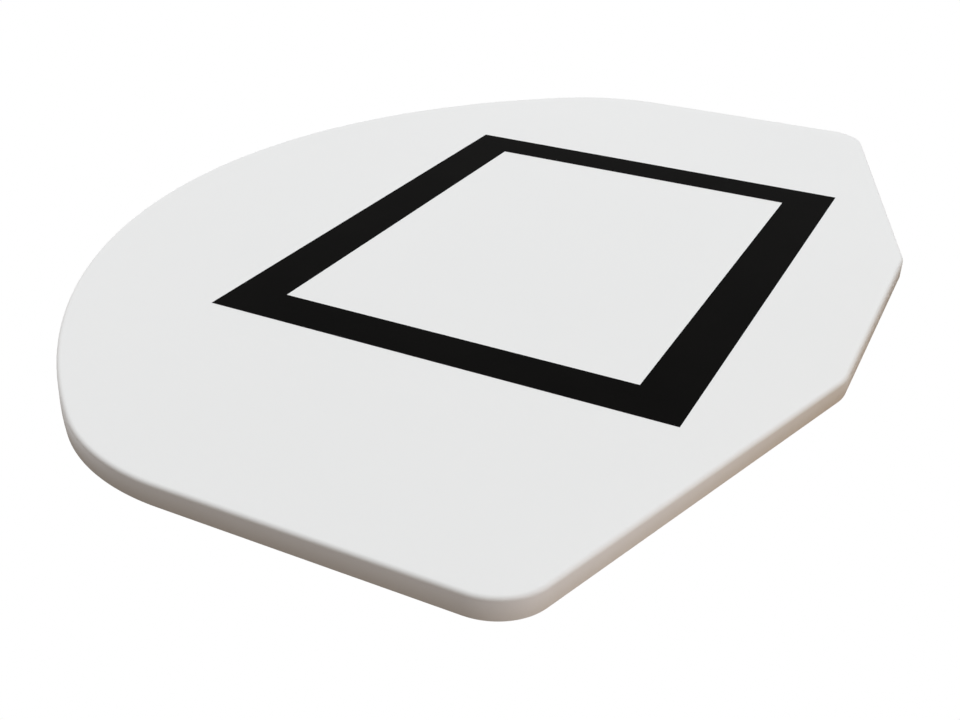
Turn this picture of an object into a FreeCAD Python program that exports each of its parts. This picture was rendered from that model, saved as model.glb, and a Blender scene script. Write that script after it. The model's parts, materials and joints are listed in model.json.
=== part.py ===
import FreeCAD, Part
import math
import os

# A fan-shaped basketball backboard, made as a moulded sandwich: a white glass-fibre tray
# with a rounded front edge, a plywood core bedded in it and a glass-fibre skin over the back.
# Four black strips make the shooting target. Steel plates let into the back carry the nuts
# that hold the board on its support, so that no fixing shows from the front.
#
# Millimetres. +Z is up, +X is to the right as seen from the front, and the front looks
# along -Y. The origin is the centre of the lower bolt pattern, on the plane of the back rim.

# Outline of the board, with the lower corners given as sharp and then rounded
board_width = 1155.0
side_height = 410.0
crown_rise = 375.0
shoulder_radius = 195.0
side_corner_height = 125.2
side_corner_radius = 48.0
bottom_flat_width = 308.0
bottom_corner_radius = 70.0

# Layers of the sandwich, and the rim that stands proud of the back skin
front_skin_thickness = 2.0
core_thickness = 15.0
back_skin_thickness = 1.5
rim_lip = 0.5
edge_radius = 4.0

# Shooting target, and its height above the board's bottom edge
target_width = 609.6
target_height = 457.2
target_line = 50.8
target_above_bottom = 101.6
strip_thickness = 0.25

# Lower plate, with a rectangle of bolts for the bracket of the support
bracket_bolts_across = 127.0
bracket_bolts_up = 101.6
bracket_plate_border = 25.4
bracket_plate_above_bottom = 12.7

# Two upper plates, with one bolt each for the braces of the support
brace_bolts_apart = 508.0
brace_above_bracket = 406.4
brace_plate_border = 38.1

# Plates, seals, nuts and screws that both kinds share
plate_thickness = 4.0
plate_corner_radius = 12.0
seal_width = 1.5
seal_setback = 0.3
bolt_diameter = 9.525
bolt_runout = 1.5
nut_across_flats = 14.3
nut_height = 8.3
nut_chamfer = 0.8
nut_clearance = 1.2
screw_head_diameter = 8.4
screw_shank_diameter = 4.2
screw_length = 12.7
screw_point_length = 4.0
screw_point_diameter = 0.6
screw_clearance = 0.1
screw_edge_margin = 11.0
drive_width = 1.0
drive_depth = 1.4

# How far a cutting shape reaches past the face that it opens, and when two points are one
cut_overrun = 1.0
same_point = 1e-6

board_height = side_height + crown_rise
board_thickness = front_skin_thickness + core_thickness + back_skin_thickness + rim_lip
front_y = -board_thickness
core_front_y = front_y + front_skin_thickness
core_back_y = core_front_y + core_thickness
inner_edge_radius = max(edge_radius - front_skin_thickness, 0.2 * edge_radius)
bracket_plate_height = bracket_bolts_up + 2 * bracket_plate_border
bottom_z = -(bracket_plate_above_bottom + bracket_plate_height / 2)
target_bottom_z = bottom_z + target_above_bottom


def point(x, y, z):
    return FreeCAD.Vector(x, y, z)


def along_y(length):
    return FreeCAD.Vector(0, length, 0)


def corner_centre(corner_x, corner_z, facing_a, facing_b, radius):
    """Centre of the arc that rounds the corner of two edges that face these two ways."""
    share = radius / (1 + math.cos(facing_b - facing_a))
    x = corner_x - share * (math.cos(facing_a) + math.cos(facing_b))
    z = corner_z - share * (math.sin(facing_a) + math.sin(facing_b))
    return x, z


def board_arcs():
    """Arcs of the board's outline, anticlockwise: centre x and z, radius, first and last angle."""
    half_width = board_width / 2
    half_flat = bottom_flat_width / 2
    down = -math.pi / 2
    slope = math.atan2(side_corner_height, half_width - half_flat) - math.pi / 2
    bottom = corner_centre(half_flat, bottom_z, down, slope, bottom_corner_radius)
    side = corner_centre(half_width, bottom_z + side_corner_height, slope, 0.0, side_corner_radius)
    shoulder_x = half_width - shoulder_radius
    shoulder_z = bottom_z + side_height
    # The crown passes through the top and runs on smoothly into both shoulders.
    rise = crown_rise - shoulder_radius
    crown_radius = shoulder_radius + (shoulder_x ** 2 + rise ** 2) / (2 * rise)
    crown_z = bottom_z + board_height - crown_radius
    crown_start = math.atan2(shoulder_z - crown_z, shoulder_x)
    right = [
        (*bottom, bottom_corner_radius, down, slope),
        (*side, side_corner_radius, slope, 0.0),
        (shoulder_x, shoulder_z, shoulder_radius, 0.0, crown_start),
    ]
    crown = (0.0, crown_z, crown_radius, crown_start, math.pi - crown_start)
    left = [(-x, z, radius, math.pi - last, math.pi - first) for x, z, radius, first, last in right]
    return right + [crown] + left[::-1]


def plate_arcs(centre_x, centre_z, width, height):
    """Corner arcs of a plate, anticlockwise from the lower right."""
    corner_x = width / 2 - plate_corner_radius
    corner_z = height / 2 - plate_corner_radius
    quarter = math.pi / 2
    arcs = []
    for turn, (side_x, side_z) in enumerate([(1, -1), (1, 1), (-1, 1), (-1, -1)]):
        first = (turn - 1) * quarter
        x = centre_x + side_x * corner_x
        z = centre_z + side_z * corner_z
        arcs.append((x, z, plate_corner_radius, first, first + quarter))
    return arcs


def arc_face(arcs, y, inset=0.0):
    """Flat face across Y, bounded by arcs that are drawn in by the inset and joined by lines."""
    runs = []
    for x, z, radius, first, last in arcs:
        reach = radius - inset
        angles = (first, (first + last) / 2, last)
        runs.append([point(x + reach * math.cos(a), y, z + reach * math.sin(a)) for a in angles])
    edges = []
    for run, following in zip(runs, runs[1:] + runs[:1]):
        edges.append(Part.Arc(*run).toShape())
        if not run[-1].isEqual(following[0], same_point):
            edges.append(Part.makeLine(run[-1], following[0]))
    return Part.Face(Part.Wire(edges))


def polygon_face(corners, y):
    """Flat face across Y with these x and z corners."""
    loop = [point(x, y, z) for x, z in corners]
    return Part.Face(Part.makePolygon(loop + loop[:1]))


def turned(profile, x, z):
    """Solid turned about a line along Y at x and z, from pairs of radius and y."""
    loop = [point(x + radius, y, z) for radius, y in profile]
    face = Part.Face(Part.makePolygon(loop + loop[:1]))
    return face.revolve(point(x, 0, z), along_y(1), 360)


def pin(radius, first_y, last_y, x, z):
    """Plain round bar or hole along Y."""
    return turned([(0, first_y), (radius, first_y), (radius, last_y), (0, last_y)], x, z)


def round_front(solid, y, radius):
    """Rounds the outer edge of the solid's front face, which lies at y."""
    edges = [edge for edge in solid.Edges if all(abs(v.Y - y) < same_point for v in edge.Vertexes)]
    return solid.makeFillet(radius, edges)


def front_skin():
    """Tray with a wall all round, open at the back."""
    outside = round_front(arc_face(board_arcs(), 0).extrude(along_y(front_y)), front_y, edge_radius)
    mouth = arc_face(board_arcs(), cut_overrun, front_skin_thickness)
    hollow = mouth.extrude(along_y(core_front_y - cut_overrun))
    return outside.cut(round_front(hollow, core_front_y, inner_edge_radius))


def core_panel(cuts):
    """Plywood panel that fills the tray, with room for the fixings."""
    back = arc_face(board_arcs(), core_back_y, front_skin_thickness)
    blank = back.extrude(along_y(-core_thickness))
    return round_front(blank, core_front_y, inner_edge_radius).cut(cuts)


def back_skin(cuts):
    """Skin over the core, inside the tray's wall, with a window for each plate."""
    front = arc_face(board_arcs(), core_back_y, front_skin_thickness)
    return front.extrude(along_y(back_skin_thickness)).cut(cuts)


def target_strips():
    """The four bands of the target, mitred at the corners and laid on the front face."""
    corners = {}
    for ring, inset in (("outer", 0.0), ("inner", target_line)):
        half = target_width / 2 - inset
        low = target_bottom_z + inset
        high = target_bottom_z + target_height - inset
        corners[ring] = [(-half, low), (half, low), (half, high), (-half, high)]
    strips = {}
    for index, side in enumerate(("bottom", "right", "top", "left")):
        after = (index + 1) % 4
        outer = corners["outer"]
        inner = corners["inner"]
        face = polygon_face([outer[index], outer[after], inner[after], inner[index]], front_y)
        strips[f"target_{side}_strip"] = face.extrude(along_y(-strip_thickness))
    return strips


def nut(x, z):
    """Hexagon nut welded to the inner face of its plate, chamfered at its far end."""
    across_corners = nut_across_flats / math.cos(math.pi / 6)
    radius = across_corners / 2
    near_y = -plate_thickness
    far_y = near_y - nut_height
    turns = [math.pi / 3 * k for k in range(6)]
    corners = [(x + radius * math.cos(t), z + radius * math.sin(t)) for t in turns]
    hexagon = polygon_face(corners, near_y).extrude(along_y(-nut_height))
    chamfer_y = far_y + nut_chamfer
    profile = [(0, near_y), (radius, near_y), (radius, chamfer_y), (radius - nut_chamfer, far_y), (0, far_y)]
    return hexagon.common(turned(profile, x, z)).cut(bolt_hole(x, z))


def bolt_hole(x, z):
    """Tapped hole through a plate and its nut, at the thread's outer diameter."""
    return pin(bolt_diameter / 2, cut_overrun, -(plate_thickness + nut_height + cut_overrun), x, z)


def nut_pocket(x, z):
    """Blind pocket in the core, with room for the nut and for the end of the bolt."""
    radius = nut_across_flats / math.cos(math.pi / 6) / 2 + nut_clearance
    return pin(radius, 0, -(plate_thickness + nut_height + bolt_runout), x, z)


def screw(x, z):
    """Countersunk wood screw with a cross drive, its head flush with the plate."""
    head = screw_head_diameter / 2
    shank = screw_shank_diameter / 2
    neck_y = shank - head
    taper_y = screw_point_length - screw_length
    tip = screw_point_diameter / 2
    profile = [(0, 0), (head, 0), (shank, neck_y), (shank, taper_y), (tip, -screw_length), (0, -screw_length)]
    solid = turned(profile, x, z)
    span = screw_shank_diameter - drive_width
    for size_x, size_z in ((span, drive_width), (drive_width, span)):
        corner = point(x - size_x / 2, -drive_depth, z - size_z / 2)
        solid = solid.cut(Part.makeBox(size_x, drive_depth + cut_overrun, size_z, corner))
    return solid


def screw_hole(x, z):
    """Countersunk hole for a screw, through the plate and into the core."""
    head = screw_head_diameter / 2 + screw_clearance
    shank = screw_shank_diameter / 2 + screw_clearance
    neck_y = shank - head
    end_y = -(screw_length + screw_clearance)
    profile = [(0, cut_overrun), (head, cut_overrun), (head, 0), (shank, neck_y), (shank, end_y), (0, end_y)]
    return turned(profile, x, z)


def joined(solids):
    """One solid as it is, or several as a group of separate solids."""
    return solids[0] if len(solids) == 1 else Part.makeCompound(solids)


def fixing(name, centre_x, centre_z, bolts, screws, width, height):
    """A plate let into the back with its nuts, screws and seal, and what they cut away."""
    arcs = plate_arcs(centre_x, centre_z, width, height)
    bolts = [(centre_x + x, centre_z + z) for x, z in bolts]
    screws = [(centre_x + x, centre_z + z) for x, z in screws]
    bolt_holes = [bolt_hole(x, z) for x, z in bolts]
    screw_holes = [screw_hole(x, z) for x, z in screws]
    nut_pockets = [nut_pocket(x, z) for x, z in bolts]
    plate = arc_face(arcs, -plate_thickness).extrude(along_y(plate_thickness))
    recess = arc_face(arcs, -plate_thickness, -seal_width)
    seal = recess.extrude(along_y(plate_thickness - seal_setback)).cut(plate)
    window = recess.extrude(along_y(plate_thickness + cut_overrun))
    nodes = {
        f"{name}_plate": plate.cut(bolt_holes + screw_holes),
        f"{name}_nuts" if len(bolts) > 1 else f"{name}_nut": joined([nut(x, z) for x, z in bolts]),
        f"{name}_screws": joined([screw(x, z) for x, z in screws]),
        f"{name}_seal": seal,
    }
    return nodes, [window] + nut_pockets + screw_holes


def corners_of(half_width, half_height):
    return [(sx * half_width, sz * half_height) for sz in (-1, 1) for sx in (-1, 1)]


def middles_of(half_width, half_height):
    return [(0, -half_height), (0, half_height), (-half_width, 0), (half_width, 0)]


def bracket_fixing():
    """Lower plate, with a bolt at each corner of the pattern and screws all round."""
    width = bracket_bolts_across + 2 * bracket_plate_border
    bolts = corners_of(bracket_bolts_across / 2, bracket_bolts_up / 2)
    screw_x = width / 2 - screw_edge_margin
    screw_z = bracket_plate_height / 2 - screw_edge_margin
    screws = corners_of(screw_x, screw_z) + middles_of(screw_x, screw_z)
    return fixing("lower_mount", 0, 0, bolts, screws, width, bracket_plate_height)


def brace_fixing(name, side):
    """Upper plate on one side, with a bolt in the middle and a screw at each corner."""
    width = 2 * brace_plate_border
    screw_reach = brace_plate_border - screw_edge_margin
    screws = corners_of(screw_reach, screw_reach)
    centre_x = side * brace_bolts_apart / 2
    return fixing(name, centre_x, brace_above_bracket, [(0, 0)], screws, width, width)


def build():
    fixings = {}
    cuts = []
    for nodes, cut in (bracket_fixing(), brace_fixing("left_brace", -1), brace_fixing("right_brace", 1)):
        fixings.update(nodes)
        cuts.extend(cut)
    board = {"front_skin": front_skin(), "core_panel": core_panel(cuts), "back_skin": back_skin(cuts)}
    return {**board, **target_strips(), **fixings}


os.makedirs("parts", exist_ok=True)
for node, shape in build().items():
    shape.exportStep(f"parts/{node}.step")
    print(f"{node}: {len(shape.Solids)} solid(s), {shape.Volume / 1000:.2f} cm3, valid {shape.isValid()}")
print(f"board {board_width:g} x {board_height:g} x {board_thickness:g} mm")
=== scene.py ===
# %% [markdown]
# # A fan-shaped basketball backboard
# The real board is a moulded sandwich. A white glass-fibre tray makes the playing face and its rounded
# edge, plywood stiffens it, and a brushed coat of resin closes the back. Four black strips make the
# target, and steel plates let into the back take the bolts of the support.
#
# The solids come in as a fixed frame, in metres, with +Z up and the playing face towards -Y. The cells
# below give them their looks, one step at a time.

# %% Load the frame
import json
import math

import bmesh
import bpy
from mathutils import Matrix, Vector


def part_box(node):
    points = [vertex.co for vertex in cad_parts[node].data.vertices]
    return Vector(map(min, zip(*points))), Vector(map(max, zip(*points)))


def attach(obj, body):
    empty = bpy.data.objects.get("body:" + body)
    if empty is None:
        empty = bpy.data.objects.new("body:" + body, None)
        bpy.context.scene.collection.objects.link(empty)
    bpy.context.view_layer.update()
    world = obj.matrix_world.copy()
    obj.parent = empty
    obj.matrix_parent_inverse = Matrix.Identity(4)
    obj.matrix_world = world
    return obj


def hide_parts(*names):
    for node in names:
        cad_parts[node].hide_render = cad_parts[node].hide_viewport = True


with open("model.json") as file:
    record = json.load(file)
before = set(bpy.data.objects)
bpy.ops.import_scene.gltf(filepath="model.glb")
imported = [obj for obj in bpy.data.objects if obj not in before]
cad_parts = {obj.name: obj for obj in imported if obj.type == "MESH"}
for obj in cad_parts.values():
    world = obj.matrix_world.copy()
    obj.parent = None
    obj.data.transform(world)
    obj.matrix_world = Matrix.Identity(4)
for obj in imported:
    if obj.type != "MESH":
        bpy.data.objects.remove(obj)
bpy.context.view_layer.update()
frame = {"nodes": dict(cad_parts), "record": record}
nodes = frame["nodes"]
scene = bpy.context.scene
scene.view_settings.view_transform = "Standard"

# %% [markdown]
# Most sizes can be read from the boxes of the solids. The tray's box gives the board's width and thickness,
# and the gap between the tray and the back skin gives the wall. A size that no box shows, such as a radius,
# is written down in the cell that first needs it.

# %% Read the sizes
tray_low, tray_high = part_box("front_skin")
back_low, back_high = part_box("back_skin")
board_width = tray_high.x - tray_low.x
bottom_z = tray_low.z
front_y = tray_low.y
rim_y = tray_high.y
thickness = rim_y - front_y
wall = back_low.x - tray_low.x
lip = rim_y - back_high.y
print(f"board {thickness * 1000:.1f} mm thick, wall {wall * 1000:.1f} mm, rim {lip * 1000:.1f} mm proud")

# %% [markdown]
# The camera is low on the left and close to the board. In the picture the board lies on its back, so the
# picture's up is the board's front, with a slight roll. A camera could be turned by eye until the picture
# fits, but this one's place, aim, roll and lens were worked out from the target's corners, because the
# target's real size is known. The lens axis passes a little left of the middle of the picture, and the
# shift allows for that.

# %% Place the camera
camera_place = Vector((-1.1604, -0.5248, -0.1916))
camera_aim = Vector((-0.3066, front_y, 0.2436))
camera_roll = math.radians(1.55)
picture_width_pixels = 960
focal_length_pixels = 1243.6
axis_column_pixels = 422.7

forward = (camera_aim - camera_place).normalized()
level_right = forward.cross(Vector((0, -1, 0))).normalized()
level_up = level_right.cross(forward)
right = level_right * math.cos(camera_roll) + level_up * math.sin(camera_roll)
up = right.cross(forward)
camera = bpy.data.objects.new("camera", bpy.data.cameras.new("camera"))
scene.collection.objects.link(camera)
camera.matrix_world = Matrix.Translation(camera_place) @ Matrix((right, up, -forward)).transposed().to_4x4()
camera.data.lens = focal_length_pixels / picture_width_pixels * camera.data.sensor_width
camera.data.shift_x = 0.5 - axis_column_pixels / picture_width_pixels
scene.camera = camera
print(f"lens {camera.data.lens:.1f} mm, shift {camera.data.shift_x:.3f}")

# %% [markdown]
# Node trees are easier to read as sums than as wiring. This class stands for one socket, and arithmetic on
# it adds Math nodes to the tree. The reflected forms, such as __rsub__, let a number stand first, as in
# 1 - mask.

# %% Sockets that do arithmetic
class Value:
    """One socket of a node tree."""

    def __init__(self, tree, socket):
        self.tree = tree
        self.socket = socket

    def output(self, name):
        """Another output of the same node."""
        return Value(self.tree, self.socket.node.outputs[name])

    def math(self, operation, first, second):
        return self.tree.node("ShaderNodeMath", {"operation": operation}, {0: first, 1: second})

    def __add__(self, other):
        return self.math("ADD", self, other)

    def __sub__(self, other):
        return self.math("SUBTRACT", self, other)

    def __rsub__(self, other):
        return self.math("SUBTRACT", other, self)

    def __mul__(self, other):
        return self.math("MULTIPLY", self, other)

    def __gt__(self, other):
        return self.math("GREATER_THAN", self, other)

    __radd__ = __add__
    __rmul__ = __mul__


print("sockets: sums, products and comparisons")

# %% [markdown]
# A second class stands for a whole tree. Its one method adds any node: its type, its settings, and the
# values or links of its sockets. The settings come first, because they decide which sockets a node shows.
# A socket is found by its number, its name or its identifier, and a list links several values to it.

# %% Trees that take any node
class Tree:
    """A node tree with one method that adds any node."""

    def __init__(self, node_tree):
        self.nodes = node_tree.nodes
        self.links = node_tree.links

    def find(self, sockets, name):
        if isinstance(name, int):
            return sockets[name]
        return next(s for s in sockets if name in (s.name, s.identifier) and not s.is_unavailable)

    def node(self, kind, settings=None, sockets=None, output=0):
        node = self.nodes.new(kind)
        for name, value in (settings or {}).items():
            if name == "stops":
                self.set_stops(node.color_ramp, value)
            else:
                setattr(node, name, value)
        for name, value in (sockets or {}).items():
            target = self.find(node.inputs, name)
            for part in value if isinstance(value, list) else [value]:
                if isinstance(part, Value):
                    self.links.new(part.socket, target)
                else:
                    target.default_value = part
        if node.outputs:
            return Value(self, self.find(node.outputs, output))

    def set_stops(self, ramp, stops):
        while len(ramp.elements) < len(stops):
            ramp.elements.new(1.0)
        for element, (place, grey) in zip(ramp.elements, stops):
            element.position = place
            element.color = (grey, grey, grey, 1.0)


print("trees: one method for every node")

# %% [markdown]
# Every finish starts from a Principled shader and reads Object coordinates, so a pattern keeps its real
# size on the part. What is the same all over a surface goes straight onto the shader's sockets, and what
# changes is fed in at the end. The steps here are the ones that most finishes share: noise with lumps of a
# size in metres, a ramp, a mix of two colours, and a bump with a height in metres.

# %% Steps that the finishes share
class Finish(Tree):
    """A material with a Principled shader."""

    def __init__(self, name, constants):
        self.material = bpy.data.materials.new(name)
        self.material.use_nodes = True
        super().__init__(self.material.node_tree)
        self.shader = self.nodes["Principled BSDF"]
        for socket, value in constants.items():
            self.shader.inputs[socket].default_value = value
        self.place = self.node("ShaderNodeTexCoord", output="Object")

    def noise(self, size, detail=2.0):
        """Soft noise from 0 to 1 with lumps of this size."""
        return self.node("ShaderNodeTexNoise", {}, {
            "Vector": self.place, "Scale": 1 / size, "Detail": detail,
        })

    def ramp(self, value, *stops):
        """Greys from stops, each with the value that it belongs to and its brightness."""
        return self.node("ShaderNodeValToRGB", {"stops": stops}, {"Fac": value})

    def mix(self, first, second, factor):
        return self.node("ShaderNodeMix", {"data_type": "RGBA"}, {
            "Factor_Float": factor, "A_Color": paint(first), "B_Color": paint(second),
        }, "Result_Color")

    def bump(self, height, metres, under=None):
        """Bumps as high as the metres say, on top of another bump if one is given."""
        sockets = {"Height": height, "Distance": metres, "Strength": 1.0}
        if under:
            sockets["Normal"] = under
        return self.node("ShaderNodeBump", {}, sockets)

    def feed(self, sockets):
        """Links the patterns to the shader, and gives the material."""
        for name, value in sockets.items():
            self.links.new(value.socket, self.shader.inputs[name])
        return self.material


def paint(colour):
    """A colour with full opacity, or a socket as it is."""
    return colour if isinstance(colour, Value) else (*colour, 1.0)


print("finishes: noise, ramp, mix, bump and feed")

# %% [markdown]
# The playing face is gelcoat, the coloured resin that goes into the mould first. It copies the mould's
# polish, so it is white, smooth and softly glossy, with a faint ripple where the resin shrank. Strong
# marks would be wrong here, because the photographed board is clean, so the face's tone hardly changes.
# Only the wall gets a little darker, warmer and duller towards the rim. The darker, warmer colour is painted
# shade, standing in for light that fades along the wall towards the rim; the dullness is roughness. That
# could be painted on by hand, but the depth in the board, which is the object's Y, gives it without any
# hand painting.

# %% Gelcoat for the playing face
edge_radius = 0.004


def gelcoat():
    finish = Finish("white_gelcoat", {"IOR": 1.5})
    cloud = finish.noise(0.30)
    ripple = finish.noise(0.014)
    peel = finish.noise(0.0018)
    # Noise that makes the painted shade on the wall uneven.
    shade_mottle = finish.noise(0.025, detail=4.0)
    depth = finish.node("ShaderNodeSeparateXYZ", {}, {0: finish.place}, "Y") - front_y
    # Painted shade: the wall's colour darkens and warms towards the rim, in place of light that fades there;
    # the same mask makes the wall duller.
    painted_shade_and_dullness = finish.ramp(depth * (1 / thickness), (edge_radius / thickness, 0.0), (1.0, 1.0))
    clean = finish.mix((0.80, 0.80, 0.80), (0.785, 0.785, 0.785), cloud)
    return finish.feed({
        "Base Color": finish.mix(clean, (0.63, 0.60, 0.56), painted_shade_and_dullness * (0.75 + shade_mottle * 0.25)),
        "Roughness": 0.28 + cloud * 0.08 + painted_shade_and_dullness * 0.45,
        "Normal": finish.bump(peel, 0.000004, finish.bump(ripple, 0.00003)),
    })


white_gelcoat = gelcoat()
print("finish:", white_gelcoat.name)

# %% [markdown]
# The rim at the back is where the tray was trimmed after it left the mould. The saw shows the layers: a
# white line of gelcoat outside and the greenish glass laminate inside, a little rough, with pale ends of
# strands. The line could be a row of faces with a material of its own. Instead, the tray's mesh will carry
# its distance from the outline as an attribute, and the line is drawn where that distance is less than the
# gelcoat's thickness, so the mesh needs no edge there.

# %% Trimmed laminate for the rim
gelcoat_thickness = 0.0006


def trimmed_laminate():
    finish = Finish("trimmed_laminate", {"Roughness": 0.55})
    strands = finish.noise(0.0012, detail=4.0)
    laminate = finish.mix((0.48, 0.50, 0.39), (0.64, 0.65, 0.57), strands)
    outwards = finish.node("ShaderNodeAttribute", {"attribute_name": "outwards"}, output="Fac")
    return finish.feed({
        "Base Color": finish.mix(laminate, (0.80, 0.80, 0.80), outwards > -gelcoat_thickness),
        "Normal": finish.bump(strands, 0.00006),
    })


cut_laminate = trimmed_laminate()
print("finish:", cut_laminate.name)

# %% [markdown]
# The next finishes need two more patterns. Cells are patches with a colour each, like crystals. Streaks
# are noise that is longer one way than another, like brush strokes, scratches and wood fibres. A Mapping
# node of the Texture kind turns the coordinates first and then divides them by a size along each axis. The
# Point kind scales first, and its turn would be lost in noise that looks alike from every side.

# %% Cells and streaks
def cells(finish, size, place=None):
    """Cells of this size, each with a colour of its own."""
    return finish.node("ShaderNodeTexVoronoi", {}, {
        "Vector": place or finish.place, "Scale": 1 / size,
    }, "Color")


def streaks(finish, sizes, turn=0.0, detail=2.0, place=None):
    """Noise with lumps of these sizes along X, Y and Z, turned about Y."""
    squeezed = finish.node("ShaderNodeMapping", {"vector_type": "TEXTURE"}, {
        "Vector": place or finish.place, "Rotation": (0, turn, 0), "Scale": sizes,
    })
    return finish.node("ShaderNodeTexNoise", {}, {"Vector": squeezed, "Scale": 1.0, "Detail": detail})


print("patterns: cells and streaks")

# %% [markdown]
# The back skin is chopped-strand glass under a coat of resin that was put on with a brush. Short strands
# lie every way and print through the coat, and the brush leaves shallow streaks along its strokes. Both are
# too fine to model, so bumps show them. For the strands, large cells each turn the coordinates by an angle
# of their own, and noise that is stretched along the turned axis then makes short fibres. Three layers with
# other cells cross each other.

# %% Brushed flowcoat for the back
def strand_layer(finish, cell_size, shift):
    """Fibres that point one way inside each cell and another way in the next."""
    moved = finish.node("ShaderNodeMapping", {}, {"Vector": finish.place, "Location": (shift, 0, -shift)})
    patch = finish.node("ShaderNodeSeparateColor", {}, {"Color": cells(finish, cell_size, moved)})
    turned = finish.node("ShaderNodeVectorRotate", {"rotation_type": "Y_AXIS"}, {
        "Vector": moved, "Angle": patch * math.tau,
    })
    fibre = streaks(finish, (0.020, 0.004, 0.0009), detail=1.0, place=turned)
    return finish.ramp(fibre, (0.50, 0.0), (0.68, 1.0))


def brushed_flowcoat():
    finish = Finish("brushed_flowcoat", {"IOR": 1.5})
    patches = ((0.034, 0.0), (0.027, 0.31), (0.022, 0.57))
    layers = [strand_layer(finish, size, shift) for size, shift in patches]
    strokes = streaks(finish, (0.16, 0.05, 0.0035), turn=0.12)
    cloud = finish.noise(0.12)
    shade = finish.ramp(cloud * 0.6 + strokes * 0.4, (0.30, 0.0), (0.70, 1.0))
    return finish.feed({
        "Base Color": finish.mix((0.63, 0.63, 0.61), (0.71, 0.71, 0.69), shade),
        "Roughness": 0.38 + strokes * 0.16,
        "Normal": finish.bump(sum(layers), 0.00007, finish.bump(strokes, 0.00022)),
    })


flowcoat = brushed_flowcoat()
print("finish:", flowcoat.name)

# %% [markdown]
# The target is black vinyl film. Laid by hand on the face, it takes the face's smoothness and adds a fine
# grain of its own. It could be a black pattern in the gelcoat, but real film has an edge, so it is a finish
# for strips of their own. Black film shows every reflection, so its reflections are kept weak.

# %% Black vinyl for the target
def black_vinyl():
    finish = Finish("black_vinyl", {"Specular IOR Level": 0.005})
    grain = finish.noise(0.0011)
    dust = finish.noise(0.06, detail=4.0)
    return finish.feed({
        "Base Color": finish.mix((0.0030, 0.0029, 0.0028), (0.0050, 0.0047, 0.0044), dust),
        "Roughness": 0.50 + grain * 0.16,
        "Normal": finish.bump(grain, 0.000006),
    })


vinyl = black_vinyl()
print("finish:", vinyl.name)

# %% [markdown]
# The plates, nuts and screws are zinc plated steel. Zinc grows in flat crystals that mirror a little
# differently from each other, and handling leaves fine scratches. One even grey would look like paint, so
# cells vary the colour and the roughness. One function makes all three finishes, with the colour and the
# crystal size as its arguments.

# %% Zinc plating for the steel
def zinc_plating(name, colour, crystal_size):
    finish = Finish(name, {"Metallic": 1.0})
    crystal = finish.node("ShaderNodeSeparateColor", {}, {"Color": cells(finish, crystal_size)})
    scratch = finish.ramp(streaks(finish, (0.05, 0.01, 0.0004), turn=0.6), (0.60, 0.0), (0.72, 1.0))
    bloom = finish.noise(0.02, detail=4.0)
    dull = tuple(0.72 * part for part in colour)
    return finish.feed({
        "Base Color": finish.mix(dull, colour, crystal * 0.5 + bloom * 0.5),
        "Roughness": 0.30 + crystal * 0.14 + bloom * 0.12 - scratch * 0.08,
        "Normal": finish.bump(scratch, 0.000012, finish.bump(bloom, 0.00004)),
    })


plate_zinc = zinc_plating("plate_zinc", (0.49, 0.50, 0.515), crystal_size=0.0055)
nut_zinc = zinc_plating("nut_zinc", (0.46, 0.47, 0.48), crystal_size=0.0020)
screw_zinc = zinc_plating("screw_zinc", (0.57, 0.58, 0.60), crystal_size=0.0012)
print("finishes:", plate_zinc.name, nut_zinc.name, screw_zinc.name)

# %% [markdown]
# Grey sealant fills the gap round each plate. It cures with a rubbery skin that is neither matt nor
# glossy. One noise drives the colour, the roughness and the bump, so the colour is darker where the bump
# is low, in its hollows.

# %% Grey sealant
def grey_sealant():
    finish = Finish("grey_sealant", {})
    lumps = finish.noise(0.004, detail=3.0)
    return finish.feed({
        "Base Color": finish.mix((0.16, 0.16, 0.16), (0.25, 0.25, 0.245), lumps),
        "Roughness": 0.42 + lumps * 0.2,
        "Normal": finish.bump(lumps, 0.00015),
    })


sealant = grey_sealant()
print("finish:", sealant.name)

# %% [markdown]
# The plywood core shows only at the bottom of the bolt holes, but an opened board would show its faces.
# Its grain runs along the board. A wave pattern would be too regular for peeled veneer, so streaks along X
# make the fibres, and slower streaks make the bands of early and late wood.

# %% Plywood for the core
def plywood_veneer():
    finish = Finish("plywood_veneer", {})
    fibres = streaks(finish, (0.09, 0.004, 0.0022), detail=4.0)
    bands = streaks(finish, (0.50, 0.03, 0.035))
    tone = finish.ramp(fibres * 0.55 + bands * 0.45, (0.35, 0.0), (0.65, 1.0))
    return finish.feed({
        "Base Color": finish.mix((0.47, 0.31, 0.18), (0.68, 0.52, 0.35), tone),
        "Roughness": 0.62 + fibres * 0.2,
        "Normal": finish.bump(fibres, 0.0002),
    })


plywood = plywood_veneer()
print("finish:", plywood.name)

# %% [markdown]
# Where a solid already has the right shape, it only needs its finish. That goes for the core, the back
# skin, the target strips, the plates and the nuts. They could be modelled again, but nothing would be
# gained, so their first material slot gets a new material.

# %% Dress the solids that stay
mount_places = ("lower_mount", "left_brace", "right_brace")
dressed = {"core_panel": plywood, "back_skin": flowcoat}
for place in mount_places:
    dressed[f"{place}_plate"] = plate_zinc
for node_name in ("lower_mount_nuts", "left_brace_nut", "right_brace_nut"):
    dressed[node_name] = nut_zinc
for side in ("top", "bottom", "left", "right"):
    dressed[f"target_{side}_strip"] = vinyl
for node_name, material in dressed.items():
    nodes[node_name].material_slots[0].material = material
print("dressed:", len(dressed), "solids")

# %% [markdown]
# The outline is a chain of arcs joined by straight lines: two bottom corners, two side corners, two
# shoulders and the crown, which runs smoothly into the shoulders. It could be drawn as a Bezier curve, but
# arcs keep the radii exact. Only the right half is worked out, and the left half is its mirror image.

# %% Arcs of the outline
side_height = 0.410
shoulder_radius = 0.195
side_corner_height = 0.1252
side_corner_radius = 0.048
bottom_flat_width = 0.308
bottom_corner_radius = 0.070


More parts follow.
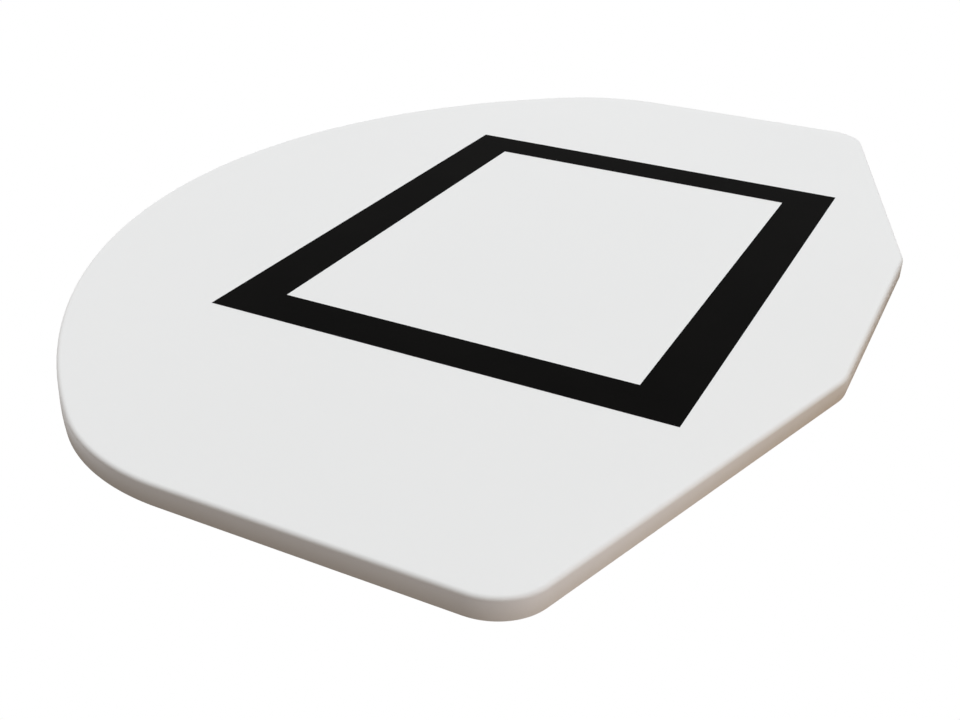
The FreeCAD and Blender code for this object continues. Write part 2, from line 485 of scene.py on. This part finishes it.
def corner_centre(corner, facing_a, facing_b, radius):
    """Centre of the arc that rounds the corner of two edges that face these two ways."""
    share = radius / (1 + math.cos(facing_b - facing_a))
    x = corner[0] - share * (math.cos(facing_a) + math.cos(facing_b))
    z = corner[1] - share * (math.sin(facing_a) + math.sin(facing_b))
    return x, z


def board_arcs():
    """Arcs of the outline, anticlockwise from the bottom: centre, radius, first and last angle."""
    half_width = board_width / 2
    half_flat = bottom_flat_width / 2
    down = -math.pi / 2
    slope = math.atan2(side_corner_height, half_width - half_flat) - math.pi / 2
    bottom = corner_centre((half_flat, bottom_z), down, slope, bottom_corner_radius)
    side = corner_centre((half_width, bottom_z + side_corner_height), slope, 0.0, side_corner_radius)
    shoulder = (half_width - shoulder_radius, bottom_z + side_height)
    rise = tray_high.z - shoulder[1] - shoulder_radius
    crown_radius = shoulder_radius + (shoulder[0] ** 2 + rise ** 2) / (2 * rise)
    crown_z = tray_high.z - crown_radius
    crown_start = math.atan2(shoulder[1] - crown_z, shoulder[0])
    half = [
        (*bottom, bottom_corner_radius, down, slope),
        (*side, side_corner_radius, slope, 0.0),
        (*shoulder, shoulder_radius, 0.0, crown_start),
    ]
    mirrored = [(-x, z, radius, math.pi - last, math.pi - first) for x, z, radius, first, last in half]
    return half + [(0.0, crown_z, crown_radius, crown_start, math.pi - crown_start)] + mirrored[::-1]


outline = board_arcs()
print("outline:", len(outline), "arcs")

# %% [markdown]
# A path needs points. The arcs are sampled finely, because a swept section keeps its true width only where
# neighbouring points turn by a small angle. The number of steps is even, so that the middle of each arc,
# such as the top of the crown, is always a point. An inset draws the whole chain in.

# %% Points along a chain of arcs
def arc_points(arcs, inset=0.0, step=math.radians(1.5)):
    """Points along a chain of arcs that are drawn in by the inset, without doubled joints."""
    points = []
    for x, z, radius, first, last in arcs:
        count = 2 * math.ceil((last - first) / step / 2)
        for k in range(count + 1):
            angle = first + (last - first) * k / count
            new = Vector((x + (radius - inset) * math.cos(angle), z + (radius - inset) * math.sin(angle)))
            if not points or (new - points[-1]).length > 1e-7:
                points.append(new)
    return points


print("outline:", len(arc_points(outline)), "points")

# %% [markdown]
# The pieces that follow a path or repeat are made by Geometry Nodes. This class holds such a tree with its
# named inputs, so that one recipe can serve several pieces of different sizes. A drawn section comes in as
# an object.

# %% Recipes with named inputs
class Recipe(Tree):
    """A Geometry Nodes tree with named inputs."""

    def __init__(self, name, inputs):
        self.group = bpy.data.node_groups.new(name, "GeometryNodeTree")
        super().__init__(self.group)
        interface = self.group.interface
        interface.new_socket("Geometry", in_out="OUTPUT", socket_type="NodeSocketGeometry")
        interface.new_socket("Geometry", in_out="INPUT", socket_type="NodeSocketGeometry")
        self.keys = {}
        for label, kind in inputs.items():
            socket = interface.new_socket(label, in_out="INPUT", socket_type=f"NodeSocket{kind}")
            self.keys[label] = socket.identifier
        self.start = self.nodes.new("NodeGroupInput")

    def given(self, label):
        """The value of a named input."""
        return Value(self, self.find(self.start.outputs, label))

    def drawn(self, label):
        """The curve or mesh of an object input."""
        return self.node("GeometryNodeObjectInfo", {}, {"Object": self.given(label)}, "Geometry")

    def vector(self, x=0.0, y=0.0, z=0.0):
        return self.node("ShaderNodeCombineXYZ", {}, {0: x, 1: y, 2: z})


print("recipes: Geometry Nodes with named inputs")

# %% [markdown]
# The recipes end alike. Curves are drawn flat, with X along the board and Y up it, because filling a curve
# works only there, and the flat shape is then turned upright into the board's plane. Shading is smooth,
# with a crease at sharp edges. The last nodes make instances real, because an export drops them, and set
# the finish.

# %% Steps that end a recipe
def stand_up(recipe, geometry, front):
    """Turns a flat drawing upright, with its top side towards the front."""
    return recipe.node("GeometryNodeTransform", {}, {
        "Geometry": geometry, "Rotation": (math.pi / 2, 0, 0), "Translation": recipe.vector(y=front),
    })


def shade_smooth(recipe, mesh, sharp_angle):
    """Smooth shading with a crease at every edge that is sharper than the angle."""
    angle = recipe.node("GeometryNodeInputMeshEdgeAngle", {}, {}, "Unsigned Angle")
    soft = recipe.node("GeometryNodeSetShadeSmooth", {"domain": "FACE"}, {
        "Geometry": mesh, "Shade Smooth": True,
    })
    return recipe.node("GeometryNodeSetShadeSmooth", {"domain": "EDGE"}, {
        "Geometry": soft, "Selection": angle > sharp_angle, "Shade Smooth": False,
    })


def end_recipe(recipe, geometry, *finishes):
    """Real geometry, and then each finish on the faces that its mask selects."""
    geometry = recipe.node("GeometryNodeRealizeInstances", {}, {"Geometry": geometry})
    for label, mask in finishes:
        geometry = recipe.node("GeometryNodeSetMaterial", {}, {
            "Geometry": geometry, "Selection": mask, "Material": recipe.given(label),
        })
    recipe.node("NodeGroupOutput", {}, {"Geometry": geometry})


print("last steps: stand_up, shade_smooth, end_recipe")

# %% [markdown]
# A recipe runs as a modifier on a carrier object. Its inputs are set by their identifiers before anything
# is evaluated. The result is copied into a plain mesh, and the carrier and the drawings are removed, so
# only the finished piece is left.

# %% Run a recipe
def make_piece(recipe, name, source, values):
    """Runs a recipe on a source curve or mesh, and gives a plain mesh object."""
    carrier = bpy.data.objects.new(f"{name}_source", source)
    scene.collection.objects.link(carrier)
    modifier = carrier.modifiers.new("recipe", "NODES")
    modifier.node_group = recipe.group
    for label, value in values.items():
        modifier[recipe.keys[label]] = value
    evaluated = carrier.evaluated_get(bpy.context.evaluated_depsgraph_get())
    mesh = bpy.data.meshes.new_from_object(evaluated)
    bpy.data.objects.remove(carrier)
    for value in values.values():
        if isinstance(value, bpy.types.Object):
            bpy.data.objects.remove(value)
    piece = bpy.data.objects.new(name, mesh)
    scene.collection.objects.link(piece)
    return piece


def stands_for(piece, slot, *node_names):
    """Attaches a finished piece to the root and hides the solids that it replaces. The slot is not used."""
    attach(piece, "root")
    if node_names:
        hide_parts(*node_names)
    print(f"{piece.name}: {len(piece.data.polygons)} faces")


print("pieces: make_piece, stands_for")

# %% [markdown]
# Paths and sections are drawn from lists of points, as chains of straight runs. The radius that every
# curve point has is free to use, so in a section it says how far the corner at that point is rounded.

# %% Draw paths and sections
def polyline(name, points, closed, radii=None):
    """Flat curve through these points, with a rounding radius at each if they are given."""
    curve = bpy.data.curves.new(name, "CURVE")
    curve.dimensions = "3D"
    spline = curve.splines.new("POLY")
    spline.points.add(len(points) - 1)
    spline.use_cyclic_u = closed
    for index, (x, y) in enumerate(points):
        spline.points[index].co = (x, y, 0.0, 1.0)
        spline.points[index].radius = radii[index] if radii else 1.0
    return curve


def section(name, points, closed, radii=None):
    """A section as an object, which a recipe's object input can take."""
    drawing = bpy.data.objects.new(name, polyline(name, points, closed, radii))
    scene.collection.objects.link(drawing)
    return drawing


print("drawings: polyline, section")

# %% [markdown]
# The tray is the main piece, and its shape follows a rule: one section of face, rounded edge, wall and
# trimmed rim, carried round the outline. It could be modelled by hand as a beveled slab, but a sweep keeps
# the edge's radius exact on every corner. The section is open on the inside, and two filled curves close
# the face and the tray's floor.

# %% Recipe for the tray
def tray_recipe():
    recipe = Recipe("tray", {
        "Section": "Object", "Rounding Steps": "Int", "Face Inset": "Float", "Floor Depth": "Float",
        "Front": "Float", "Rim": "Float", "Face Finish": "Material", "Rim Finish": "Material",
    })
    path = recipe.node("GeometryNodeSetCurveNormal", {"mode": "Z_UP"}, {"Curve": recipe.given("Geometry")})
    radius = recipe.node("GeometryNodeInputRadius")
    rounded = recipe.node("GeometryNodeFilletCurve", {"mode": "POLY"}, {
        "Curve": recipe.drawn("Section"), "Count": recipe.given("Rounding Steps"), "Radius": radius,
    })
    place = recipe.node("ShaderNodeSeparateXYZ", {}, {0: recipe.node("GeometryNodeInputPosition")})
    marked = recipe.node("GeometryNodeStoreNamedAttribute", {"data_type": "FLOAT", "domain": "POINT"}, {
        "Geometry": rounded, "Name": "outwards", "Value": place.output("X"),
    })
    swept = recipe.node("GeometryNodeCurveToMesh", {}, {"Curve": path, "Profile Curve": marked})
    outwards = recipe.node("GeometryNodeInputNormal")
    inwards = recipe.node("ShaderNodeVectorMath", {"operation": "SCALE"}, {
        0: outwards, "Scale": 0.0 - recipe.given("Face Inset"),
    })
    ring = recipe.node("GeometryNodeSetPosition", {}, {"Geometry": path, "Offset": inwards})
    face = recipe.node("GeometryNodeFillCurve", {"mode": "NGONS"}, {"Curve": ring})
    floor = recipe.node("GeometryNodeTransform", {}, {
        "Geometry": recipe.node("GeometryNodeFlipFaces", {}, {"Mesh": face}),
        "Translation": recipe.vector(z=0.0 - recipe.given("Floor Depth")),
    })
    shell = recipe.node("GeometryNodeJoinGeometry", {}, {"Geometry": [swept, face, floor]})
    shell = recipe.node("GeometryNodeMergeByDistance", {}, {"Geometry": shell, "Distance": 1e-6})
    shell = shade_smooth(recipe, shell, sharp_angle=math.radians(40))
    shell = stand_up(recipe, shell, recipe.given("Front"))
    slack = 1e-5
    on_rim = place.output("Y") > recipe.given("Rim") - slack
    end_recipe(recipe, shell, ("Face Finish", True), ("Rim Finish", on_rim))
    return recipe


tray = tray_recipe()
print("recipe:", tray.group.name, list(tray.keys))

# %% [markdown]
# The section is drawn as distance outwards and depth from the face, with a rounding radius at each corner.
# It starts a little inside the rounded edge, so that the smooth shading of the edge ends there and the
# playing face stays perfectly flat. The inner corner's radius is the outer one's less the wall, so the
# wall is equally thick round the bend.

# %% Sweep the tray
flat_margin = 0.002
trim_radius = 0.0003
face_inset = edge_radius + flat_margin
tray_section = [
    (-face_inset, 0.0), (0.0, 0.0), (0.0, thickness), (-wall, thickness), (-wall, wall), (-face_inset, wall),
]
rounding = [0.0, edge_radius, trim_radius, trim_radius, edge_radius - wall, 0.0]
moulded_tray = make_piece(tray, "moulded_tray", polyline("outline", arc_points(outline), True), {
    "Section": section("tray_section", tray_section, False, rounding),
    "Rounding Steps": 10, "Face Inset": face_inset, "Floor Depth": wall, "Front": front_y, "Rim": rim_y,
    "Face Finish": white_gelcoat, "Rim Finish": cut_laminate,
})
stands_for(moulded_tray, "gelcoat", "front_skin")

# %% [markdown]
# Resin runs into the corner between the rim and the back skin and sets as a small hollow fillet. Sealant
# does the same round each plate, more unevenly because it is laid by hand. A curve with a round bevel would
# look like a pipe, so one recipe sweeps a closed, hollow section along a path, and slow noise makes the
# section larger and smaller on its way.

# %% Recipe for beads of resin and sealant
def bead_recipe():
    recipe = Recipe("bead", {
        "Section": "Object", "Skin": "Float", "Waver": "Float", "Lumps Per Metre": "Float",
        "Finish": "Material",
    })
    path = recipe.node("GeometryNodeSetCurveNormal", {"mode": "Z_UP"}, {"Curve": recipe.given("Geometry")})
    noise = recipe.node("ShaderNodeTexNoise", {}, {"Scale": recipe.given("Lumps Per Metre"), "Detail": 2.0})
    swell = 1.0 + (noise - 0.5) * recipe.given("Waver")
    swept = recipe.node("GeometryNodeCurveToMesh", {}, {
        "Curve": path, "Profile Curve": recipe.drawn("Section"), "Scale": swell,
    })
    soft = shade_smooth(recipe, swept, sharp_angle=math.radians(50))
    end_recipe(recipe, stand_up(recipe, soft, recipe.given("Skin")), ("Finish", True))
    return recipe


bead = bead_recipe()
print("recipe:", bead.group.name, list(bead.keys))

# %% [markdown]
# The section of a bead is drawn as distance outwards and height above the skin, so that it grows from its
# foot. Its root goes a little into the skin, so that no gap can show. Its points always run the same way
# round, because that decides which side of the swept faces is outside.

# %% Section of a bead
root_depth = 0.0003


def cove(reach, height, steps=6):
    """Closed section of a hollow fillet: a quarter of an ellipse down a wall, and a root in the skin."""
    points = []
    for k in range(steps + 1):
        angle = math.pi / 2 * k / steps
        points.append((reach * (1 - math.cos(angle)), height * (1 - math.sin(angle))))
    points += [(reach, -root_depth), (0.0, -root_depth)]
    return points[::-1] if reach > 0 else points


# The fillet's reach is negative, because it grows inwards from the rim.
rim_cove = cove(-0.005, 0.8 * lip)
bead_cove = cove(0.0032, 0.75 * lip)
print("sections:", len(rim_cove), "and", len(bead_cove), "points")

# %% [markdown]
# The fillet runs along the inside of the rim, so its path is the outline drawn in by the wall. The long
# straight runs get more points, because the section can change its size only at a point.

# %% Resin fillet along the rim
def even_points(points, spacing):
    """The same closed chain with points added on its long runs."""
    result = []
    for here, after in zip(points, points[1:] + points[:1]):
        count = max(1, round((after - here).length / spacing))
        result += [here.lerp(after, k / count) for k in range(count)]
    return result


rim_path = even_points(arc_points(outline, inset=wall), spacing=0.006)
rim_fillet = make_piece(bead, "rim_fillet", polyline("rim", rim_path, True), {
    "Section": section("rim_cove", rim_cove, True),
    "Skin": back_high.y, "Waver": 0.5, "Lumps Per Metre": 25.0, "Finish": flowcoat,
})
stands_for(rim_fillet, "back_laminate")

# %% [markdown]
# Each bead of sealant follows the edge of its plate, which is a rectangle with four corner arcs. The
# plate's box gives its place and size.

# %% Sealant round the plates
plate_corner_radius = 0.012


def plate_arcs(low, high):
    """Corner arcs of a plate, anticlockwise from the lower right."""
    arcs = []
    for turn, (x, side_x, z, side_z) in enumerate([
        (high.x, -1, low.z, 1), (high.x, -1, high.z, -1), (low.x, 1, high.z, -1), (low.x, 1, low.z, 1),
    ]):
        first = (turn - 1) * math.pi / 2
        centre = (x + side_x * plate_corner_radius, z + side_z * plate_corner_radius)
        arcs.append((*centre, plate_corner_radius, first, first + math.pi / 2))
    return arcs


for place in mount_places:
    plate_low, plate_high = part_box(f"{place}_plate")
    corners = arc_points(plate_arcs(plate_low, plate_high), step=math.radians(5))
    plate_edge = polyline(f"{place}_edge", even_points(corners, spacing=0.001), True)
    seal = make_piece(bead, f"{place}_bead", plate_edge, {
        "Section": section("bead_cove", bead_cove, True),
        "Skin": back_high.y, "Waver": 0.9, "Lumps Per Metre": 90.0, "Finish": sealant,
    })
    stands_for(seal, "sealant", f"{place}_seal")

# %% [markdown]
# A plain screw could be lathed and its recess cut with a Boolean, but that leaves long, thin faces. So it is
# built from rings of points with quads between them: circles for the turned body, and crosses for the
# recess that the driver fits.

# %% Rings of points
def ring_of(mesh, points):
    return [mesh.verts.new(point) for point in points]


def bridge(mesh, first, second):
    """Quads between two rings of as many points."""
    count = len(first)
    for k in range(count):
        after = (k + 1) % count
        mesh.faces.new((first[k], first[after], second[after], second[k]))


def circle(radius, y, count=40):
    turns = [math.tau * k / count for k in range(count)]
    return [(radius * math.cos(t), y, radius * math.sin(t)) for t in turns]


def cross(reach, half_slot, y):
    """Twelve corners of a cross."""
    points = []
    for k in range(4):
        along = Vector((math.cos(math.pi / 2 * k), math.sin(math.pi / 2 * k)))
        aside = Vector((-along.y, along.x))
        for a, b in ((reach, -half_slot), (reach, half_slot), (half_slot, half_slot)):
            point = along * a + aside * b
            points.append((point.x, y, point.y))
    return points


print("rings:", len(circle(1.0, 0.0)), "points on a circle,", len(cross(1.0, 0.2, 0.0)), "on a cross")

# %% [markdown]
# The screw is turned from a short profile: a head with a small chamfer, a cone of 45 degrees under it, the
# shank and the point. Its recess narrows with depth, as the driver's tip does. The flat of the head is
# filled between the outermost circle and the mouth of the recess.

# %% One countersunk screw
head_radius = 0.0042
chamfer_width = 0.00025
chamfer_depth = 0.00012
head_edge = 0.0003
point_length = 0.004
tip_radius = 0.0003
recess_mouth = (0.0022, 0.00055)
recess_bottom = (0.0010, 0.00030)
recess_depth = 0.0016


def screw_mesh(length):
    shank = head_radius / 2
    neck_y = shank - head_radius - head_edge
    profile = [
        (head_radius - chamfer_width, 0.0), (head_radius, -chamfer_depth), (head_radius, -head_edge),
        (shank, neck_y), (shank, point_length - length), (tip_radius, -length),
    ]
    mesh = bmesh.new()
    rings = [ring_of(mesh, circle(radius, y)) for radius, y in profile]
    for first, second in zip(rings, rings[1:]):
        bridge(mesh, first, second)
    mesh.faces.new(rings[-1])
    mouth = ring_of(mesh, cross(*recess_mouth, 0.0))
    bottom = ring_of(mesh, cross(*recess_bottom, -recess_depth))
    bridge(mesh, mouth, bottom)
    mesh.faces.new(bottom)
    rims = [edge for edge in mesh.edges if len(edge.link_faces) == 1]
    bmesh.ops.triangle_fill(mesh, use_beauty=True, edges=rims)
    bmesh.ops.recalc_face_normals(mesh, faces=mesh.faces)
    data = bpy.data.meshes.new("screw")
    mesh.to_mesh(data)
    mesh.free()
    return data


screw_low, screw_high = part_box("left_brace_screws")
screw = screw_mesh(screw_high.y - screw_low.y)
print("screw:", len(screw.polygons), "faces")

# %% [markdown]
# The screws repeat. Copies could be placed by hand, but points in the holes are quicker to move, so
# Geometry Nodes set the one screw on every point. Each is turned by a random angle, because nobody lines up
# the cross slots, and the seed is fixed, so that the angles stay the same.

# %% Recipe for setting the screws
def scatter_recipe():
    recipe = Recipe("scatter", {"Part": "Object", "Seed": "Int", "Finish": "Material"})
    angle = recipe.node("FunctionNodeRandomValue", {"data_type": "FLOAT"}, {
        "Min": 0.0, "Max": math.tau, "Seed": recipe.given("Seed"),
    }, "Value")
    placed = recipe.node("GeometryNodeInstanceOnPoints", {}, {
        "Points": recipe.given("Geometry"), "Instance": recipe.drawn("Part"),
        "Rotation": recipe.vector(y=angle),
    })
    whole = recipe.node("GeometryNodeRealizeInstances", {}, {"Geometry": placed})
    end_recipe(recipe, shade_smooth(recipe, whole, sharp_angle=math.radians(35)), ("Finish", True))
    return recipe


scatter = scatter_recipe()
print("recipe:", scatter.group.name, list(scatter.keys))

# %% [markdown]
# The holes are at the corners of each plate, and the wide lower plate has four more between them. The box
# round a plate's screws gives their outermost edges, so the middles lie one head radius further in.

# %% Set the screws
def cloud_of(name, places, y):
    """A mesh of bare points, which are all at the same depth."""
    data = bpy.data.meshes.new(name)
    data.from_pydata([(x, y, z) for x, z in places], [], [])
    return data


def screw_places(place):
    low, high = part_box(f"{place}_screws")
    columns = (low.x + head_radius, high.x - head_radius)
    rows = (low.z + head_radius, high.z - head_radius)
    places = [(x, z) for x in columns for z in rows]
    if place == "lower_mount":
        places += [(sum(columns) / 2, z) for z in rows] + [(x, sum(rows) / 2) for x in columns]
    return places


for seed, place in enumerate(mount_places):
    master = bpy.data.objects.new("screw_master", screw)
    scene.collection.objects.link(master)
    holes = cloud_of(f"{place}_holes", screw_places(place), rim_y)
    screws = make_piece(scatter, f"{place}_cross_screws", holes, {
        "Part": master, "Seed": seed, "Finish": screw_zinc,
    })
    stands_for(screws, "screw_steel", f"{place}_screws")

# %% [markdown]
# The bolt holes are tapped. A bump on the wall of the hole would look flat from the side, so the thread is
# real: a ridge that follows a helix. A spiral curve with a triangular section makes it, and the tree sets
# one in each hole.

# %% Recipe for threads
def thread_recipe():
    recipe = Recipe("thread", {
        "Radius": "Float", "Ridge": "Float", "Length": "Float", "Turns": "Float", "Finish": "Material",
    })
    ridge = recipe.given("Ridge")
    middle = recipe.given("Radius") - ridge * 0.5
    helix = recipe.node("GeometryNodeCurveSpiral", {}, {
        "Resolution": 28, "Rotations": recipe.given("Turns"), "Start Radius": middle, "End Radius": middle,
        "Height": recipe.given("Length"),
    })
    helix = recipe.node("GeometryNodeSetCurveNormal", {"mode": "Z_UP"}, {"Curve": helix})
    triangle = recipe.node("GeometryNodeCurvePrimitiveCircle", {"mode": "RADIUS"}, {
        "Resolution": 3, "Radius": ridge,
    }, "Curve")
    swept = recipe.node("GeometryNodeCurveToMesh", {}, {
        "Curve": helix, "Profile Curve": triangle, "Fill Caps": True,
    })
    along_depth = recipe.node("GeometryNodeTransform", {}, {
        "Geometry": swept, "Rotation": (math.pi / 2, 0, 0),
    })
    placed = recipe.node("GeometryNodeInstanceOnPoints", {}, {
        "Points": recipe.given("Geometry"), "Instance": along_depth,
    })
    whole = recipe.node("GeometryNodeRealizeInstances", {}, {"Geometry": placed})
    end_recipe(recipe, shade_smooth(recipe, whole, sharp_angle=math.radians(25)), ("Finish", True))
    return recipe


thread = thread_recipe()
print("recipe:", thread.group.name, list(thread.keys))

# %% [markdown]
# The record gives the radius and the spacing of the six holes, in millimetres. The pitch is that of a coarse
# 3/8 in thread, with 16 turns to the inch. The thread starts and ends a little inside the hole, so that its
# caps don't stick out of the plate or the nut.

# %% Threads in the bolt holes
millimetre = 0.001
mounts = {mount["name"]: mount for mount in frame["record"]["mounts"]}
bracket = mounts["bracket_bolts"]["dims"]
brace = mounts["brace_bolts"]
half_across = bracket["spacing_x_mm"] * millimetre / 2
half_up = bracket["spacing_y_mm"] * millimetre / 2
half_brace = brace["dims"]["spacing_x_mm"] * millimetre / 2
bolt_places = [(x, z) for x in (-half_across, half_across) for z in (-half_up, half_up)]
bolt_places += [(x, brace["pos_m"][2]) for x in (-half_brace, half_brace)]

nut_low, nut_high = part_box("left_brace_nut")
thread_pitch = 0.0015875
thread_setback = 0.6 * thread_pitch
thread_top = rim_y - thread_setback
thread_length = thread_top - nut_low.y - thread_setback
bolt_threads = make_piece(thread, "bolt_threads", cloud_of("bolt_holes", bolt_places, thread_top), {
    "Radius": bracket["hole_r_mm"] * millimetre, "Ridge": 0.00066, "Length": thread_length,
    "Turns": thread_length / thread_pitch, "Finish": nut_zinc,
})
stands_for(bolt_threads, "nut_steel")

# %% [markdown]
# The stage is a pale floor under the board, which is not part of the object. It fades out towards its rim,
# so that it has no hard edge against the white background. The camera and reflections see it pale, but the
# light that it passes on is weaker and warmer, so that it doesn't bleach the underside of the board.

# %% Lay the floor
floor_z = bottom_z - 0.31
floor_radius = 3.0
floor_sides = 96


def seen_directly(tree):
    """1 for what the camera sees, itself or in a reflection, and 0 for the light that surfaces pass on."""
    path = tree.node("ShaderNodeLightPath", output="Is Camera Ray")
    seen = path.math("MAXIMUM", path, path.output("Is Glossy Ray"))
    return seen.math("MAXIMUM", seen, path.output("Is Transmission Ray"))


def floor_finish():
    finish = Finish("pale_floor", {"Roughness": 0.85, "Specular IOR Level": 0.0})
    speck = finish.noise(0.02)
    pale = finish.mix((0.74, 0.74, 0.74), (0.76, 0.76, 0.76), speck)
    distance = finish.node("ShaderNodeVectorMath", {"operation": "LENGTH"}, {0: finish.place}, "Value")
    return finish.feed({
        "Base Color": finish.mix((0.36, 0.33, 0.30), pale, seen_directly(finish)),
        "Alpha": finish.ramp(distance * (1 / floor_radius), (0.35, 1.0), (0.98, 0.0)),
    })


turns = [math.tau * k / floor_sides for k in range(floor_sides)]
floor_ring = [(floor_radius * math.cos(t), floor_radius * math.sin(t), floor_z) for t in turns]
floor_data = bpy.data.meshes.new("floor")
floor_data.from_pydata(floor_ring, [], [tuple(range(floor_sides))])
floor_data.materials.append(floor_finish())
floor = bpy.data.objects.new("floor", floor_data)
scene.collection.objects.link(floor)
print(f"floor at {floor_z:.3f} m")

# %% [markdown]
# The light is soft and plain. A large lamp gives most of it from far in front, because a distant lamp
# fades little across the board. It stands a little to the right, so that the rounded edge on the left
# turns quickly into shade. A weak lamp on the left balances the face, and lamps above and behind show the
# top and the back. Two small ones on the floor lift the lower edges: a nearly white one under the near
# corner, and a weak, warm one at the far end of the slope, so that the edge gets warmer on its way. They
# don't overlap, because overlapping lamps at one height can give less light than their sum. The walls get
# less light than the face, so the board's thickness reads.
#
# A lamp's power in watts is worked out from the level that it gives a white surface at its distance, where
# 1 is full white. Only the side lamp shows in reflections: zinc needs one bright patch to mirror, and more
# of them would bleach it.

# %% Light the board
def lamp(name, place, aim, size, level, colour=(1.0, 1.0, 1.0), mirrored=False):
    """Square soft lamp that lights a surface facing it at the aim to this level."""
    data = bpy.data.lights.new(name, "AREA")
    data.size = size
    reach = Vector(aim) - Vector(place)
    data.energy = level * math.pi * (size ** 2 + math.pi * reach.length_squared)
    data.color = colour
    made = bpy.data.objects.new(name, data)
    made.location = place
    made.rotation_euler = reach.to_track_quat("-Z", "Y").to_euler()
    made.visible_camera = False
    made.visible_glossy = mirrored
    scene.collection.objects.link(made)


middle = (0.0, front_y, 0.30)
lamp("front_lamp", (11.0, -32.0, 1.2), middle, size=9.0, level=0.75, colour=(0.905, 0.963, 1.0))
lamp("left_lamp", (-1.8, -4.0, 0.2), middle, size=1.3, level=0.12)
lamp("top_lamp", (2.2, 1.2, 3.2), middle, size=2.0, level=0.34)
lamp("back_lamp", (0.3, 4.0, 0.9), middle, size=2.4, level=0.46, colour=(0.98, 0.99, 1.0))
lamp("side_lamp", (2.2, 2.6, 1.5), middle, size=2.6, level=0.22, mirrored=True)
lower_lamps = {
    "corner_lamp": (-0.66, 0.628, (1.0, 0.915, 0.875)),
    "slope_lamp": (-0.15, 0.192, (1.0, 0.64, 0.30)),
}
for name, (x, level, colour) in lower_lamps.items():
    lamp(name, (x, 0.10, floor_z + 0.02), (x, 0.10, bottom_z), size=0.5, level=level, colour=colour)

# %% [markdown]
# The background is white, but a white world would light the board from all sides and flatten it. So the
# world is white only for what the camera sees directly or mirrored, and lights surfaces with a dim, warm
# tone.

# %% White background
def white_world(ambient):
    world = bpy.data.worlds.new("white_world")
    world.use_nodes = True
    scene.world = world
    tree = Tree(world.node_tree)
    colour = tree.node("ShaderNodeMix", {"data_type": "RGBA"}, {
        "Factor_Float": seen_directly(tree), "A_Color": paint(ambient), "B_Color": paint((1.0, 1.0, 1.0)),
    }, "Result_Color")
    tree.links.new(colour.socket, world.node_tree.nodes["Background"].inputs["Color"])
    return world


print("background:", white_world((0.222, 0.186, 0.158)).name)
